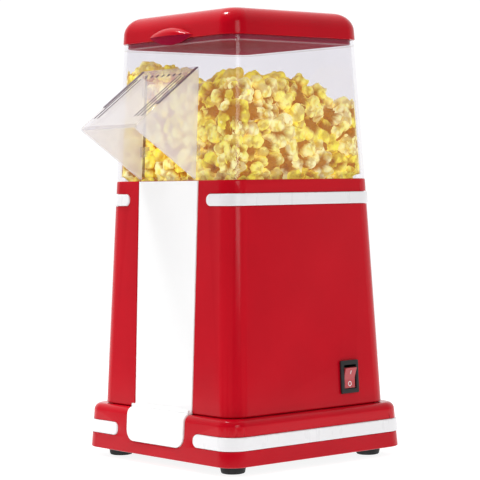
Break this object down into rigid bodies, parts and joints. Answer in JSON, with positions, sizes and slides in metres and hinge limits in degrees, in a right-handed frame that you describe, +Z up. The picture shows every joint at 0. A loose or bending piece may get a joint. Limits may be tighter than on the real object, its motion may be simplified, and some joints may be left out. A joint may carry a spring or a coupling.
{
  "type": "popcorn maker",
  "caption": "Hot-air popcorn maker: tapered tower on a plinth with blower and popping cup, clear hood with serving chute, lift-off lid, rocker switch.",
  "frame": {"origin": "floor level under the middle of the whole object's box", "axes": "+Z up, the chute and front panel face -Y, the rocker switch is on the +X side"},
  "size_m": [0.159, 0.1886, 0.3],
  "materials": {
    "red_shell": "glossy red",
    "white_trim": "glossy white",
    "clear_plastic": "clear polished plastic",
    "rubber_foot": "matt black rubber",
    "black_plastic": "fine grained black",
    "rocker_red": "tinted red",
    "aluminium": "drawn, satin",
    "steel": "zinc plated",
    "housing_grey": "heat resistant moulding",
    "mica": "pressed mica sheet",
    "heater_wire": "oxidised resistance wire",
    "brass": "plain",
    "board": "green laminate",
    "lead_white": "glass braid sleeving",
    "lead_blue": "silicone insulation"
  },
  "bodies": {
    "base": {"base_plinth": "red_shell", "body_shell": "red_shell", "top_deck": "red_shell", "front_panel": "white_trim", "upper_band": "white_trim", "lower_band": "white_trim", "foot_1": "rubber_foot", "foot_2": "rubber_foot", "foot_3": "rubber_foot", "foot_4": "rubber_foot", "bottom_plate": "black_plastic", "switch_housing": "black_plastic", "cord_grommet": "black_plastic", "thermostat": "black_plastic", "popping_chamber": "aluminium", "thermal_fuse": "aluminium", "chamber_sleeve": "steel", "motor": "steel", "motor_bracket": "steel", "foot_screw_1": "steel", "foot_screw_2": "steel", "foot_screw_3": "steel", "foot_screw_4": "steel", "bracket_screw_1": "steel", "bracket_screw_2": "steel", "bracket_screw_3": "steel", "motor_screw_1": "steel", "motor_screw_2": "steel", "blower_housing": "housing_grey", "heater_frame": "mica", "heater_coil": "heater_wire", "switch_terminal_1": "brass", "switch_terminal_2": "brass", "rectifier_board": "board", "wire_inlet_switch": "lead_white", "wire_switch_heater": "lead_white", "wire_inlet_motor": "lead_blue"},
    "hood": {"hood": "clear_plastic", "chute": "clear_plastic"},
    "lid": {"lid": "red_shell", "lid_liner": "red_shell"},
    "rotor": {"impeller": "black_plastic", "motor_shaft": "steel"},
    "rocker": {"switch_rocker": "rocker_red"}
  },
  "joints": [
    {"name": "hood_lift", "type": "slide", "parent": "base", "child": "hood", "axis": [0, 0, 1], "range_m": [0, 0.15]},
    {"name": "lid_lift", "type": "slide", "parent": "hood", "child": "lid", "axis": [0, 0, 1], "range_m": [0, 0.08]},
    {"name": "fan_spin", "type": "hinge", "parent": "base", "child": "rotor", "pos_m": [0, 0.01619, 0.05], "axis": [0, 0, 1], "continuous": true},
    {"name": "rocker_press", "type": "hinge", "parent": "base", "child": "rocker", "pos_m": [0.06774, 0.04868, 0.05558], "axis": [0, -1, 0], "range_deg": [0, 20]}
  ]
}
